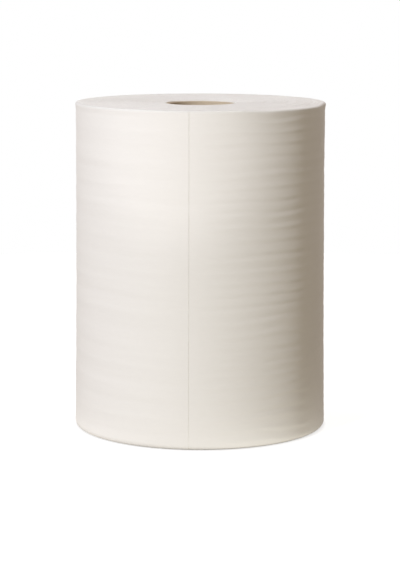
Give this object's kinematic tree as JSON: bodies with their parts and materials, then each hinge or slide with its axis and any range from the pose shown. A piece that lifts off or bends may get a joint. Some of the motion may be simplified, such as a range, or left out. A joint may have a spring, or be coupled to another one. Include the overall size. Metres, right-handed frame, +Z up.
{
  "type": "nonwoven wipe roll",
  "caption": "Wide roll of soft white nonwoven cloth wound on a tan paperboard tube, standing on its end with its hole upright, with the web's loose end lying flat down the front.",
  "frame": {"origin": "on the roll's axis, in the plane of the end that it stands on", "axes": "+Z up the roll's axis and out of its hole, -Y out of the front, beside which the web's loose end lies"},
  "size_m": [0.2472, 0.247, 0.32],
  "materials": {
    "nonwoven_cloth": "matt warm white nonwoven cloth, faintly ribbed round the roll where the layers were wound",
    "paperboard": "matt tan spiral-wound paperboard, which is wood fibre"
  },
  "bodies": {
    "root": {"wound_web": "nonwoven_cloth", "core_tube": "paperboard"}
  },
  "joints": []
}
